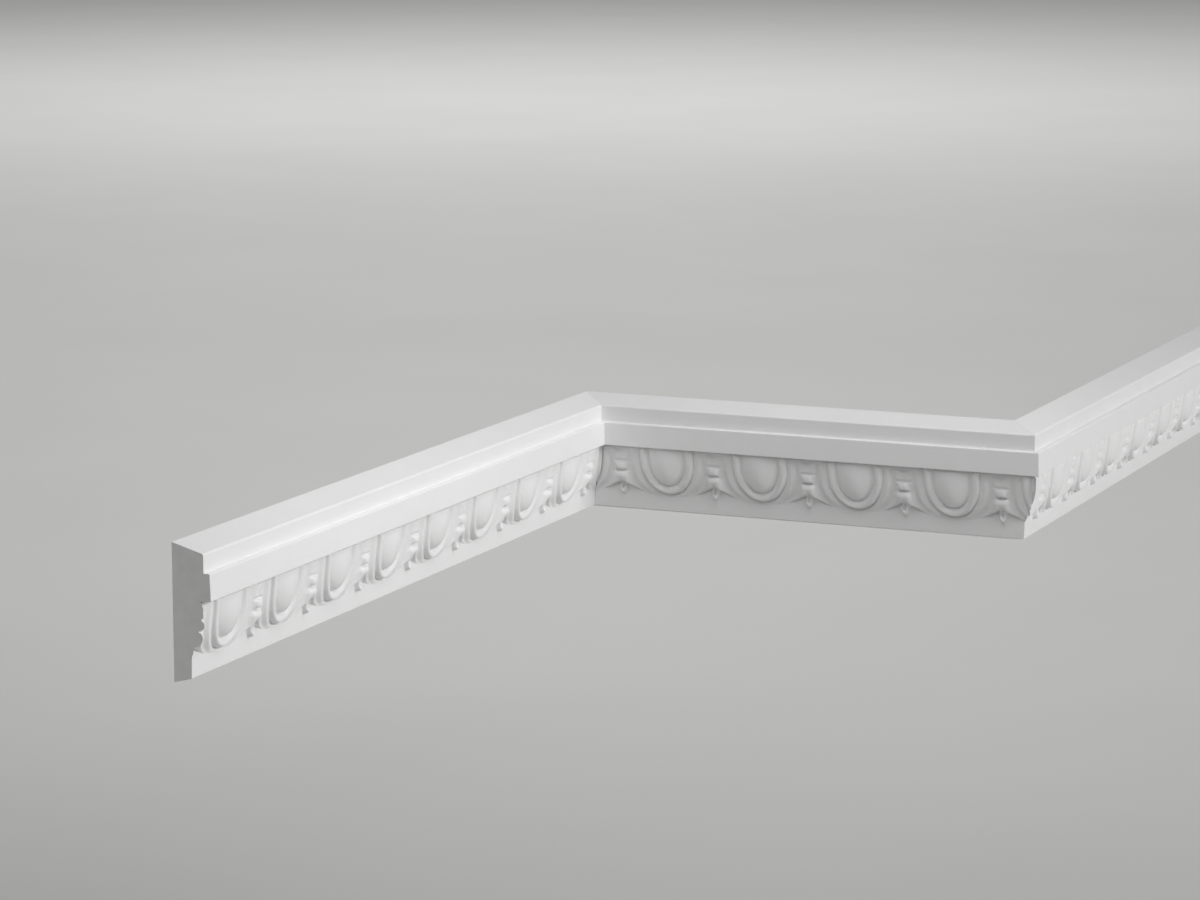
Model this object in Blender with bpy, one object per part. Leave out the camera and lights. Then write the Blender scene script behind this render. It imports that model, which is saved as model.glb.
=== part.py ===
"""Egg-and-dart panel moulding in three lengths, mitred round a projection of a wall.

Each length is one cast solid. Its local frame has +X along the wall, -Y out of the wall and the
top edge of its wall face at Z = 0. World: +Z up, the left and right lengths lie along +X and face
-Y, the return lies along -Y and faces -X. The origin is the middle of the left length's wall face.
Metres throughout.
"""

import math

import bmesh
import bpy
import numpy as np

# Lengths of the three runs, measured along the wall
LEFT_LENGTH = 0.650
RETURN_LENGTH = 0.347
RIGHT_LENGTH = 0.550

# Heights of the profile's members, from the top down
TOP_SLOPE_DROP = 0.0058
UPPER_FASCIA_HEIGHT = 0.0127
PROJECTING_FASCIA_HEIGHT = 0.0176
SOFFIT_DROP = 0.0004
BAND_HEIGHT = 0.0391
FOOT_HEIGHT = 0.0111
UNDERSIDE_DROP = 0.0033

# How far the members stand out from the wall, each from the one inside it
FOOT_DEPTH = 0.0129
CARVING_RISE = 0.0119
FASCIA_COVER = 0.0024
LEDGE_STEP = 0.0049
FASCIA_BATTER = 0.0006

# Rounded edges of the plain members
TOP_EDGE_RADIUS = 0.0014
LEDGE_EDGE_RADIUS = 0.0006
FOOT_EDGE_DROP = 0.0014

# The carving: one egg and one dart to a pitch, and where each run's first dart stands
PITCH = 0.0765
LEFT_FIRST_DART = -0.0027
RETURN_FIRST_DART = 0.0378
RIGHT_FIRST_DART = 0.0087

# Play between two lengths at a mitre
MITRE_GAP = 0.0003

# Egg and its frame, across as shares of the pitch and down as shares of the band's height
EGG_HALF_WIDTH = 0.194
EGG_DROP = 0.530
FRAME_HALF_WIDTH = 0.288
FRAME_DROP = 0.712
ARCH_START = 0.237

# Shape of the egg's dome and place of the frame's crest, below the egg and beside it
DOME_POWER_BELOW = 2.0
DOME_POWER_ASIDE = 2.0
DOME_FLATNESS_ASIDE = 0.85
FRAME_CREST_BELOW = 0.84
FRAME_CREST_ASIDE = 0.52

# Surfaces that fall down the band, as (rise at the top, fall, share of the band the fall takes, how
# late it falls). Rises are shares of the carving's rise from here on.
GROUND = (0.76, 0.76, 0.945, 2.0)
EGG_GROOVE = (0.78, 0.58, 0.767, 2.0)
FRAME_RIM = (0.97, 0.61, 0.900, 1.5)

# The dart's lines, from its middle outwards, as (share down the band, share of the pitch from the
# dart's middle, share of the carving's rise). The frame's outer edge is the last line.
DART_CREST = (
    (0.00, 0.058, 0.80), (0.08, 0.058, 0.76), (0.16, 0.056, 0.74), (0.30, 0.044, 0.74),
    (0.45, 0.038, 0.66), (0.52, 0.040, 0.61), (0.60, 0.040, 0.69), (0.67, 0.042, 0.62),
    (0.74, 0.050, 0.51), (0.80, 0.066, 0.40), (0.85, 0.094, 0.30), (0.90, 0.138, 0.20),
    (0.945, 0.205, 0.10),
)
DART_FLUTE = (
    (0.00, 0.108, 0.76), (0.08, 0.108, 0.72), (0.22, 0.108, 0.64), (0.40, 0.108, 0.50),
    (0.54, 0.116, 0.39), (0.68, 0.138, 0.27), (0.78, 0.170, 0.16), (0.88, 0.225, 0.05),
    (0.96, 0.290, 0.00),
)
LEAF_RIDGE = (
    (0.00, 0.154, 0.80), (0.22, 0.154, 0.77), (0.40, 0.154, 0.69), (0.54, 0.166, 0.61),
    (0.68, 0.196, 0.49), (0.80, 0.240, 0.33), (0.92, 0.312, 0.10),
)
DART_MIDDLE = (
    (0.00, 0.79), (0.08, 0.75), (0.16, 0.72), (0.30, 0.73), (0.45, 0.66), (0.52, 0.62),
    (0.60, 0.70), (0.68, 0.60), (0.76, 0.42),
)

# The dart's grooves and the bead between them, as (middle down the band, half height, half width,
# depth or rise), and the notch above them, as (depth, half width, bottom, how far it fades)
UPPER_GROOVE = (0.303, 0.045, 0.085, 0.13)
LOWER_GROOVE = (0.500, 0.036, 0.068, 0.20)
BEAD = (0.405, 0.074, 0.050, 0.13)
BEAD_SQUARENESS = 3.0
NOTCH = (0.09, 0.060, 0.155, 0.06)
GROOVE_FADE = 2.4

# The drop under the dart, as (middle down the band, half height, half width). Its rim leans out
# towards its top, and both edges fade over a share of its size.
TONGUE = (0.800, 0.198, 0.036)
TONGUE_RIM = 0.22
TONGUE_RIM_FADE = 0.20
TONGUE_LEAN = 1.60
TONGUE_HOLLOW = 0.16
TONGUE_HOLLOW_EDGE = 0.667
TONGUE_HOLLOW_FADE = 0.333

# Lower edge of the leaves, as (share of the pitch from the dart's middle, share down the band)
LEAF_EDGE = (
    (0.000, 0.655), (0.013, 0.665), (0.021, 0.700), (0.033, 0.740), (0.046, 0.765),
    (0.090, 0.808), (0.131, 0.850), (0.172, 0.888), (0.215, 0.922), (0.320, 0.955),
    (0.500, 0.975),
)
LEAF_EDGE_SOFTNESS = 0.030
LEAF_SHELF = 0.01
LEAF_SHELF_FADE = 0.10

# Fineness of the carved surface before it is thinned, and what the thinning keeps
COLUMNS_PER_PITCH = 64
BAND_ROWS = 44
ARC_STEPS = 3
TRIANGLES_PER_PITCH = 440

# How far the uncut blank reaches past its ends and behind the wall
BLANK_MARGIN = 0.004

PLASTER_WHITE = (0.84, 0.84, 0.84, 1.0)
PLASTER_ROUGHNESS = 0.55

# An end's shape: how far its cut moves along the wall for each metre out from the wall
SQUARE_END = 0
INNER_MITRE = -1
OUTER_MITRE = 1


def eased(share):
    """0 to 1 with a level start and end."""
    share = np.clip(share, 0.0, 1.0)
    return share * share * (3.0 - 2.0 * share)


def along(line, column, at):
    """A smooth curve through one column of a line's points."""
    points = np.array(line)
    places, values = points[:, 0], points[:, column]
    slopes = np.gradient(values, places)
    at = np.clip(at, places[0], places[-1])
    left = np.clip(np.searchsorted(places, at, side="right") - 1, 0, len(places) - 2)
    span = places[left + 1] - places[left]
    share = (at - places[left]) / span
    square, cube = share**2, share**3
    return (
        (2 * cube - 3 * square + 1) * values[left]
        + (cube - 2 * square + share) * span * slopes[left]
        + (3 * square - 2 * cube) * values[left + 1]
        + (cube - square) * span * slopes[left + 1]
    )


def falling(surface, down):
    """A surface's rise at a share of the way down the band."""
    top, fall, end, lateness = surface
    return top - fall * np.clip(down / end, 0.0, 1.0) ** lateness


def arch_radius(across, down, half_width, drop):
    """1 on an arch with upright sides and a half ellipse below, less inside it."""
    return np.hypot(across / half_width, np.maximum(down - ARCH_START, 0.0) / drop)


def aside_share(across, radius):
    """How far a place on the egg's arch lies to its side: 1 beside the egg, 0 below it."""
    return np.clip(across / EGG_HALF_WIDTH / radius, 0.0, 1.0) ** 2


def egg_relief(across, down):
    """The egg, domed from its groove."""
    radius = np.clip(arch_radius(across, down, EGG_HALF_WIDTH, EGG_DROP), 1e-6, 1.0)
    below = np.maximum(down - ARCH_START, 0.0) / radius
    rim = falling(EGG_GROOVE, np.where(down > ARCH_START, ARCH_START + below, down))
    aside = aside_share(across, radius)
    power = DOME_POWER_BELOW + (DOME_POWER_ASIDE - DOME_POWER_BELOW) * aside
    round_dome = np.sqrt(1.0 - radius**power)
    dome = round_dome + DOME_FLATNESS_ASIDE * aside * (round_dome**2 - round_dome)
    return rim + (1.0 - rim) * dome


def frame_relief(across, down):
    """The rounded rim round the egg: an easy slope inside and a full round outside."""
    radius = np.maximum(arch_radius(across, down, EGG_HALF_WIDTH, EGG_DROP), 1.0)
    aside = aside_share(across, radius)
    crest_at = FRAME_CREST_BELOW + (FRAME_CREST_ASIDE - FRAME_CREST_BELOW) * aside
    outside = np.maximum(1.0 - arch_radius(across, down, FRAME_HALF_WIDTH, FRAME_DROP), 0.0)
    inside = (radius - 1.0) * EGG_HALF_WIDTH
    outside = outside * FRAME_HALF_WIDTH
    share = inside / np.maximum(inside + outside, 1e-9)
    rise = np.sin(0.5 * np.pi * np.clip(share / crest_at, 0.0, 1.0))
    fall = np.clip((share - crest_at) / (1.0 - crest_at), 0.0, 1.0)
    drop = 1.0 - np.sqrt(1.0 - fall**2)
    groove, crest, foot = (falling(line, down) for line in (EGG_GROOVE, FRAME_RIM, GROUND))
    return np.where(
        share < crest_at, groove + (crest - groove) * rise, crest + (foot - crest) * drop
    )


def frame_edge(down):
    """How far the frame's outer edge stands from the dart's middle."""
    below = np.clip((down - ARCH_START) / FRAME_DROP, 0.0, 1.0)
    return 0.5 - FRAME_HALF_WIDTH * np.sqrt(1.0 - below**2)


def cross_groove(groove, aside, down):
    """A level groove across the dart that fades out at its ends."""
    middle, half_height, half_width, depth = groove
    level = eased(1.0 - np.abs(down - middle) / half_height)
    return depth * level * eased(GROOVE_FADE * (1.0 - aside / half_width))


def dart_bands(aside, down):
    """The dart's two grooves, its bead and its notch, as changes to its surface."""
    middle, half_height, half_width, rise = BEAD
    across = (aside / half_width) ** BEAD_SQUARENESS
    upright = (np.abs(down - middle) / half_height) ** BEAD_SQUARENESS
    bead = rise * np.sqrt(np.clip(1.0 - across - upright, 0.0, 1.0))
    depth, reach, bottom, fade = NOTCH
    notch = depth * eased((bottom - down) / fade - aside / reach)
    grooves = cross_groove(UPPER_GROOVE, aside, down) + cross_groove(LOWER_GROOVE, aside, down)
    return bead - grooves - notch


def tongue_relief(aside, down):
    """The small drop under the dart: a raised rim round a sunken middle."""
    middle, half_height, half_width = TONGUE
    radius = np.hypot(aside / half_width, (down - middle) / half_height)
    rim = eased((1.0 - radius) / TONGUE_RIM_FADE)
    hollow = eased((TONGUE_HOLLOW_EDGE - radius) / TONGUE_HOLLOW_FADE)
    lean = TONGUE_LEAN * np.maximum(middle - down, 0.0)
    return rim * (TONGUE_RIM + lean) - TONGUE_HOLLOW * hollow


def dart_relief(aside, down):
    """The dart, its inner and outer leaves, and the foot of the band under them."""
    lines = [
        (np.zeros_like(down), along(DART_MIDDLE, 1, down)),
        (along(DART_CREST, 1, down), along(DART_CREST, 2, down)),
        (along(DART_FLUTE, 1, down), along(DART_FLUTE, 2, down)),
        (along(LEAF_RIDGE, 1, down), along(LEAF_RIDGE, 2, down)),
        (frame_edge(down), falling(GROUND, down)),
    ]
    leaves = lines[0][1]
    for (start, low), (end, high) in zip(lines, lines[1:]):
        share = (aside - start) / np.maximum(end - start, 1e-6)
        leaves = np.where(aside > start, low + (high - low) * eased(share), leaves)
    leaves = leaves + dart_bands(aside, down)
    under_leaf = eased((down - along(LEAF_EDGE, 1, aside)) / LEAF_EDGE_SOFTNESS + 0.5)
    shelf = LEAF_SHELF * eased((LEAF_EDGE[-1][1] - down) / LEAF_SHELF_FADE)
    below = shelf + tongue_relief(aside, down)
    return leaves * (1.0 - under_leaf) + np.maximum(below, 0.0) * under_leaf


def relief(pitches, down):
    """The carving's rise, 0 to 1, at a distance along the run counted in pitches from a dart."""
    across = np.abs(pitches - np.floor(pitches) - 0.5)
    aside = 0.5 - across
    in_egg = arch_radius(across, down, EGG_HALF_WIDTH, EGG_DROP) < 1.0
    in_frame = arch_radius(across, down, FRAME_HALF_WIDTH, FRAME_DROP) < 1.0
    carved = np.where(in_frame, frame_relief(across, down), dart_relief(aside, down))
    return np.where(in_egg, egg_relief(across, down), carved)


def arc(centre, radius, start, end, steps=ARC_STEPS):
    """Points of an arc in the profile, as (out from the wall, down); angles from 'out' to 'down'."""
    turns = (start + (end - start) * step / steps for step in range(steps + 1))
    return [
        (centre[0] + radius * math.cos(turn), centre[1] + radius * math.sin(turn))
        for turn in turns
    ]


def member_levels():
    """How far down each member starts, by name, and the whole height."""
    names = ("slope", "upper", "projecting", "soffit", "band", "foot", "underside", "bottom")
    heights = (
        TOP_SLOPE_DROP,
        UPPER_FASCIA_HEIGHT,
        PROJECTING_FASCIA_HEIGHT,
        SOFFIT_DROP,
        BAND_HEIGHT,
        FOOT_HEIGHT,
        UNDERSIDE_DROP,
    )
    return dict(zip(names, [math.fsum(heights[:count]) for count in range(len(heights) + 1)]))


def upper_profile(levels):
    """Top slope, upper fascia and projecting fascia, down to the soffit's outer edge."""
    front = FOOT_DEPTH + CARVING_RISE + FASCIA_COVER
    face = front - LEDGE_STEP
    slope_run = face - TOP_EDGE_RADIUS
    behind = TOP_SLOPE_DROP * BLANK_MARGIN / slope_run
    tilt = math.atan2(TOP_SLOPE_DROP, slope_run)
    points = [(-BLANK_MARGIN, -behind)]
    points += arc(
        (face - TOP_EDGE_RADIUS, levels["upper"] + TOP_EDGE_RADIUS),
        TOP_EDGE_RADIUS, tilt - math.pi / 2, 0.0,
    )
    points.append((face, levels["projecting"]))
    ledge_top = front - FASCIA_BATTER
    points += arc(
        (ledge_top - LEDGE_EDGE_RADIUS, levels["projecting"] + LEDGE_EDGE_RADIUS),
        LEDGE_EDGE_RADIUS, -math.pi / 2, 0.0,
    )
    points.append((front - FASCIA_BATTER / 4, (levels["projecting"] + levels["soffit"]) / 2))
    points.append((front, levels["soffit"]))
    return points


def lower_profile(levels):
    """Foot fascia and underside, down to behind the wall."""
    lift = UNDERSIDE_DROP * BLANK_MARGIN / FOOT_DEPTH
    return [
        (FOOT_DEPTH, levels["foot"] + FOOT_EDGE_DROP),
        (FOOT_DEPTH - FASCIA_BATTER / 2, levels["underside"]),
        (-BLANK_MARGIN, levels["bottom"] + lift),
    ]


def blank_surface(length, first_dart):
    """The whole surface of an uncut length, as rows of points round its profile."""
    levels = member_levels()
    reach = FOOT_DEPTH + CARVING_RISE + FASCIA_COVER + BLANK_MARGIN
    columns = round((length + 2 * reach) / PITCH * COLUMNS_PER_PITCH)
    places = np.linspace(-reach, length + reach, columns + 1)
    rows = [
        (np.full_like(places, out), np.full_like(places, down))
        for out, down in upper_profile(levels)
    ]
    pitches = (places - first_dart) / PITCH
    for row in range(BAND_ROWS + 1):
        share = row / BAND_ROWS
        rise = relief(pitches, np.full_like(places, share))
        rows.append((
            FOOT_DEPTH + CARVING_RISE * rise,
            np.full_like(places, levels["band"] + BAND_HEIGHT * share),
        ))
    rows += [
        (np.full_like(places, out), np.full_like(places, down))
        for out, down in lower_profile(levels)
    ]
    rows.append(rows[0])
    return [np.column_stack((places, -out, -down)) for out, down in rows]


def fill_openings(mesh):
    """Closes every open loop with one face."""
    openings = [edge for edge in mesh.edges if edge.is_boundary]
    bmesh.ops.holes_fill(mesh, edges=openings, sides=0)


def cut_off(mesh, point, outward):
    """Cuts away what lies outside a plane, and closes the cut with a flat face."""
    everything = mesh.verts[:] + mesh.edges[:] + mesh.faces[:]
    bmesh.ops.bisect_plane(
        mesh, geom=everything, dist=1e-7, plane_co=point, plane_no=outward, clear_outer=True
    )
    fill_openings(mesh)


def uncut_blank(name, length, first_dart):
    """A closed mesh of the length, longer than its ends and thicker than its wall face."""
    rows = blank_surface(length, first_dart)
    columns = len(rows[0])
    mesh = bmesh.new()
    bmesh.ops.create_grid(mesh, x_segments=columns - 1, y_segments=len(rows) - 1, size=1.0)
    mesh.verts.ensure_lookup_table()
    for number, place in enumerate(np.concatenate(rows)):
        mesh.verts[number].co = place
    bmesh.ops.remove_doubles(mesh, verts=mesh.verts[:], dist=1e-7)
    fill_openings(mesh)
    bmesh.ops.recalc_face_normals(mesh, faces=mesh.faces[:])
    data = bpy.data.meshes.new(name)
    mesh.to_mesh(data)
    mesh.free()
    return data


def thinned(data, length):
    """The mesh with only the triangles that its carving needs."""
    helper = bpy.data.objects.new("blank", data)
    bpy.context.scene.collection.objects.link(helper)
    data.calc_loop_triangles()
    wanted = TRIANGLES_PER_PITCH * (length / PITCH + 1.0)
    thinning = helper.modifiers.new("thinning", "DECIMATE")
    thinning.ratio = min(1.0, wanted / len(data.loop_triangles))
    graph = bpy.context.evaluated_depsgraph_get()
    result = bpy.data.meshes.new_from_object(helper.evaluated_get(graph))
    bpy.data.objects.remove(helper)
    bpy.data.meshes.remove(data)
    return result


def end_cut(place, slope, side):
    """A point on an end's cutting plane and its outward normal; side is -1 left or 1 right."""
    normal = np.array((1.0, slope, 0.0) if side > 0 else (-1.0, slope, 0.0))
    normal /= np.linalg.norm(normal)
    gap = MITRE_GAP / 2 if slope != SQUARE_END else 0.0
    return np.array((place, 0.0, 0.0)) - gap * normal, normal


def plaster(name):
    """A matt white casting finish."""
    finish = bpy.data.materials.new(name)
    finish.use_nodes = True
    shader = finish.node_tree.nodes["Principled BSDF"]
    shader.inputs["Base Color"].default_value = PLASTER_WHITE
    shader.inputs["Roughness"].default_value = PLASTER_ROUGHNESS
    shader.inputs["Metallic"].default_value = 0.0
    return finish


def moulding_length(name, length, first_dart, left_end, right_end, collection):
    """One length of moulding, cut to its ends and to the wall, in its local frame."""
    data = thinned(uncut_blank(name, length, first_dart), length)
    mesh = bmesh.new()
    mesh.from_mesh(data)
    cut_off(mesh, (0.0, 0.0, 0.0), (0.0, 1.0, 0.0))
    cut_off(mesh, *end_cut(0.0, left_end, -1))
    cut_off(mesh, *end_cut(length, right_end, 1))
    bmesh.ops.triangulate(mesh, faces=mesh.faces[:])
    bmesh.ops.recalc_face_normals(mesh, faces=mesh.faces[:])
    mesh.to_mesh(data)
    mesh.free()
    data.name = name
    data.materials.append(plaster(name + "_plaster"))
    run = bpy.data.objects.new(name, data)
    collection.objects.link(run)
    return run


def clear_scene():
    for item in list(bpy.data.objects):
        bpy.data.objects.remove(item)


def build():
    clear_scene()
    collection = bpy.data.collections.new("panel_moulding")
    bpy.context.scene.collection.children.link(collection)
    corner = bpy.data.objects.new("inner_wall_corner", None)
    collection.objects.link(corner)
    corner.location = (LEFT_LENGTH / 2, 0.0, member_levels()["bottom"] / 2)

    left = moulding_length(
        "left_run", LEFT_LENGTH, LEFT_FIRST_DART, SQUARE_END, INNER_MITRE, collection
    )
    left.location = (-LEFT_LENGTH, 0.0, 0.0)
    across = moulding_length(
        "return_run", RETURN_LENGTH, RETURN_FIRST_DART, INNER_MITRE, OUTER_MITRE, collection
    )
    across.rotation_euler = (0.0, 0.0, -math.pi / 2)
    right = moulding_length(
        "right_run", RIGHT_LENGTH, RIGHT_FIRST_DART, OUTER_MITRE, SQUARE_END, collection
    )
    right.location = (0.0, -RETURN_LENGTH, 0.0)
    for run in (left, across, right):
        run.parent = corner


build()
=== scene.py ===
"""Looks of the panel moulding: three lengths with egg-and-dart carving, mitred round a wall.

Each length is first made in its own frame: +X along the wall, -Y out of the wall, and the top edge
of its wall face at Z = 0. It is then set in its place in the frame of the CAD part, and replaces
the solid of the same name. Metres throughout.
"""

import logging
import math
from dataclasses import dataclass, field
from enum import Enum

import bmesh
import bpy
import numpy as np
from mathutils import Matrix, Vector

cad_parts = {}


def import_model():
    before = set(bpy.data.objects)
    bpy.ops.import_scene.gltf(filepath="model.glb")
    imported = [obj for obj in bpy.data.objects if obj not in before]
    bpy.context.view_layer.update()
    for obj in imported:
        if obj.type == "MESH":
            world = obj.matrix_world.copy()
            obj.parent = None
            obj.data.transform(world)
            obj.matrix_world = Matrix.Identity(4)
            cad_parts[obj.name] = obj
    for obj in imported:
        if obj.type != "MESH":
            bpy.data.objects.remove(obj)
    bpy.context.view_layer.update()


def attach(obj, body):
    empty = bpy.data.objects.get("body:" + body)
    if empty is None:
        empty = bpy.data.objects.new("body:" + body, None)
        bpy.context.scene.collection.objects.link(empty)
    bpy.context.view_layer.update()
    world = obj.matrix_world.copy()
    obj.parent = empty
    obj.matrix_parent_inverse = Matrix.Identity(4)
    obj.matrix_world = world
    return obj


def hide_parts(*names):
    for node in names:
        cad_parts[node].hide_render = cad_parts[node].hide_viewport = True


LOG = logging.getLogger("panel_moulding")
UNIT_PITCHES = 2
SPREAD_SAMPLES = 4000
BLUR_REACH = 3.0
SMALLEST_SHARE = 1e-6
SMALLEST_WIDTH = 1e-9

Line = tuple[tuple[float, ...], ...]
Fall = tuple[float, float, float, float]
Band = tuple[float, float, float, float]
Colour = tuple[float, float, float, float]
Triple = tuple[float, float, float]
Corner = tuple[float, float]


class EndShape(Enum):
    """How a length's end is cut; the value is the cut's shift along the wall per metre out."""

    SQUARE = 0
    INNER_MITRE = -1
    OUTER_MITRE = 1


class Side(Enum):
    """Which end of a length is meant; the value is its direction along the wall."""

    LEFT = -1
    RIGHT = 1


class Finish(Enum):
    """Which finish a face has; the value is its material slot."""

    SKIN = 0
    CORE = 1
    BACK = 2


def eased(share: np.ndarray) -> np.ndarray:
    """Turns 0 to 1 into 0 to 1 with a level start and end."""
    share = np.clip(share, 0.0, 1.0)
    return share * share * (3.0 - 2.0 * share)


def along(line: Line, column: int, at: np.ndarray) -> np.ndarray:
    """Reads a smooth curve through one column of a line's points.

    Args:
        line: Points of the line, each with its place first.
        column: Which value of the points to read.
        at: Places to read the curve at.

    Returns:
        The curve's value at each place.
    """
    points = np.array(line)
    places, values = points[:, 0], points[:, column]
    slopes = np.gradient(values, places)
    at = np.clip(at, places[0], places[-1])
    left = np.clip(np.searchsorted(places, at, side="right") - 1, 0, len(places) - 2)
    span = places[left + 1] - places[left]
    share = (at - places[left]) / span
    square, cube = share**2, share**3
    return (
        (2 * cube - 3 * square + 1) * values[left]
        + (cube - 2 * square + share) * span * slopes[left]
        + (3 * square - 2 * cube) * values[left + 1]
        + (cube - square) * span * slopes[left + 1]
    )


def falling(surface: Fall, down: np.ndarray) -> np.ndarray:
    """Reads the rise of a surface that falls down the band.

    Args:
        surface: Rise at the top, how far it falls, share of the band the fall takes, lateness.
        down: Share of the way down the band.

    Returns:
        The rise, as a share of the carving's rise.
    """
    top, fall, end, lateness = surface
    return top - fall * np.clip(down / end, 0.0, 1.0) ** lateness


def blurred(grid: np.ndarray, sigma: float, axis: int, wraps: bool) -> np.ndarray:
    """Softens a grid of values along one axis.

    Args:
        grid: The values.
        sigma: Spread of the softening, in grid steps.
        axis: The axis that it runs along.
        wraps: Whether the axis joins up with its own start, or stays level past its ends.

    Returns:
        The softened grid, of the same shape.
    """
    reach = max(1, math.ceil(BLUR_REACH * sigma))
    steps = np.arange(-reach, reach + 1)
    weights = np.exp(-0.5 * (steps / sigma) ** 2)
    weights /= weights.sum()
    pads = [(0, 0), (0, 0)]
    pads[axis] = (reach, reach)
    padded = np.pad(grid, pads, mode="wrap" if wraps else "edge")
    size = grid.shape[axis]
    parts = [
        weight * np.take(padded, range(start, start + size), axis=axis)
        for start, weight in enumerate(weights)
    ]
    return np.sum(parts, axis=0)


def spread_places(count: int, start: float, end: float, crowds: Line) -> np.ndarray:
    """Spreads places over a stretch, closer together near the places that need them.

    Args:
        count: How many steps to take.
        start: The first place.
        end: The last place.
        crowds: Where they crowd, as (middle, half width, how much closer).

    Returns:
        The places, one more than the steps.
    """
    fine = np.linspace(start, end, SPREAD_SAMPLES)
    weight = np.ones_like(fine)
    for middle, half_width, gain in crowds:
        weight += gain * np.exp(-(((fine - middle) / half_width) ** 2))
    total = np.concatenate(([0.0], np.cumsum((weight[1:] + weight[:-1]) / 2)))
    return np.interp(np.linspace(0.0, total[-1], count + 1), total, fine)


@dataclass(frozen=True)
class Carving:
    """The egg-and-dart relief. Across it counts in pitches, down in shares of the band's height."""

    pitch: float = 0.0765
    egg_half_width: float = 0.194
    egg_drop: float = 0.530
    frame_half_width: float = 0.288
    frame_drop: float = 0.712
    arch_start: float = 0.237
    dome_power_below: float = 2.0
    dome_power_aside: float = 2.0
    dome_flatness_aside: float = 0.85
    crest_below: float = 0.84
    crest_aside: float = 0.52
    crevice_depths: tuple[float, float] = (0.05, 0.20)
    crevice_width: float = 0.008
    crevice_least: float = 0.45
    soffit_recess: tuple[float, float] = (0.16, 0.036)
    soffit_recess_fade: float = 2.0
    ground: Fall = (0.76, 0.76, 0.945, 2.0)
    egg_groove: Fall = (0.78, 0.58, 0.767, 2.0)
    frame_rim: Fall = (0.97, 0.61, 0.900, 1.5)
    dart_crest: Line = (
        (0.00, 0.058, 0.80), (0.08, 0.058, 0.76), (0.16, 0.056, 0.74), (0.30, 0.044, 0.74),
        (0.45, 0.038, 0.66), (0.52, 0.040, 0.61), (0.60, 0.040, 0.69), (0.67, 0.042, 0.62),
        (0.74, 0.050, 0.51), (0.80, 0.066, 0.40), (0.85, 0.094, 0.30), (0.90, 0.138, 0.20),
        (0.945, 0.205, 0.10),
    )
    dart_flute: Line = (
        (0.00, 0.108, 0.76), (0.08, 0.108, 0.72), (0.22, 0.108, 0.64), (0.40, 0.108, 0.50),
        (0.54, 0.116, 0.39), (0.68, 0.138, 0.27), (0.78, 0.170, 0.16), (0.88, 0.225, 0.05),
        (0.96, 0.290, 0.00),
    )
    leaf_ridge: Line = (
        (0.00, 0.154, 0.80), (0.22, 0.154, 0.77), (0.40, 0.154, 0.69), (0.54, 0.166, 0.61),
        (0.68, 0.196, 0.49), (0.80, 0.240, 0.33), (0.92, 0.312, 0.10),
    )
    dart_middle: Line = (
        (0.00, 0.79), (0.08, 0.75), (0.16, 0.72), (0.30, 0.73), (0.45, 0.66), (0.52, 0.62),
        (0.60, 0.70), (0.68, 0.60), (0.76, 0.42),
    )
    upper_groove: Band = (0.303, 0.045, 0.085, 0.13)
    lower_groove: Band = (0.500, 0.036, 0.068, 0.20)
    groove_fade: float = 2.4
    bead: Band = (0.405, 0.074, 0.050, 0.13)
    bead_squareness: float = 3.0
    bead_lean: float = 0.25
    notch: Band = (0.09, 0.060, 0.155, 0.06)
    crease: Band = (0.225, 0.050, 0.006, 0.05)
    crease_fade: float = 2.0
    tongue: Triple = (0.800, 0.198, 0.036)
    tongue_rim: float = 0.34
    tongue_rim_fade: float = 0.20
    tongue_lean: float = 1.60
    tongue_hollow: float = 0.26
    tongue_hollow_edge: float = 0.667
    tongue_hollow_fade: float = 0.333
    leaf_edge: Line = (
        (0.000, 0.655), (0.013, 0.665), (0.021, 0.700), (0.033, 0.740), (0.046, 0.765),
        (0.090, 0.808), (0.131, 0.850), (0.172, 0.888), (0.215, 0.922), (0.320, 0.955),
        (0.500, 0.975),
    )
    leaf_edge_softness: float = 0.022
    leaf_crevice: tuple[float, float] = (0.12, 0.014)
    leaf_crevice_end: tuple[float, float] = (0.24, 0.10)
    leaf_shelf: float = 0.01
    leaf_shelf_fade: float = 0.10
    softness: float = 0.00025
    fine_columns: int = 640
    fine_rows: int = 220

    def arch(self, across: np.ndarray, down: np.ndarray, half_width: float, drop: float) -> np.ndarray:
        """Measures a place against an arch: 1 on its line, less inside it.

        Args:
            across: Distance from the egg's middle.
            down: Share of the way down the band.
            half_width: Half the arch's width.
            drop: Height of its rounded part.

        Returns:
            The place's share of the arch's own size.
        """
        return np.hypot(across / half_width, np.maximum(down - self.arch_start, 0.0) / drop)

    def aside_share(self, across: np.ndarray, radius: np.ndarray) -> np.ndarray:
        """Tells how far a place on the egg's arch lies to its side: 1 beside it, 0 below it."""
        return np.clip(across / self.egg_half_width / radius, 0.0, 1.0) ** 2

    def egg(self, across: np.ndarray, down: np.ndarray) -> np.ndarray:
        """Gives the egg's rise, domed from its groove.

        Args:
            across: Distance from the egg's middle.
            down: Share of the way down the band.

        Returns:
            The rise, as a share of the carving's rise.
        """
        radius = self.arch(across, down, self.egg_half_width, self.egg_drop)
        radius = np.clip(radius, SMALLEST_SHARE, 1.0)
        below = np.maximum(down - self.arch_start, 0.0) / radius
        reached = np.where(down > self.arch_start, self.arch_start + below, down)
        rim = falling(self.egg_groove, reached)
        aside = self.aside_share(across, radius)
        powers = self.dome_power_below, self.dome_power_aside
        round_dome = np.sqrt(1.0 - radius ** (powers[0] + (powers[1] - powers[0]) * aside))
        flatness = self.dome_flatness_aside * aside
        dome = round_dome + flatness * (round_dome**2 - round_dome)
        return rim + (1.0 - rim) * dome

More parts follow.
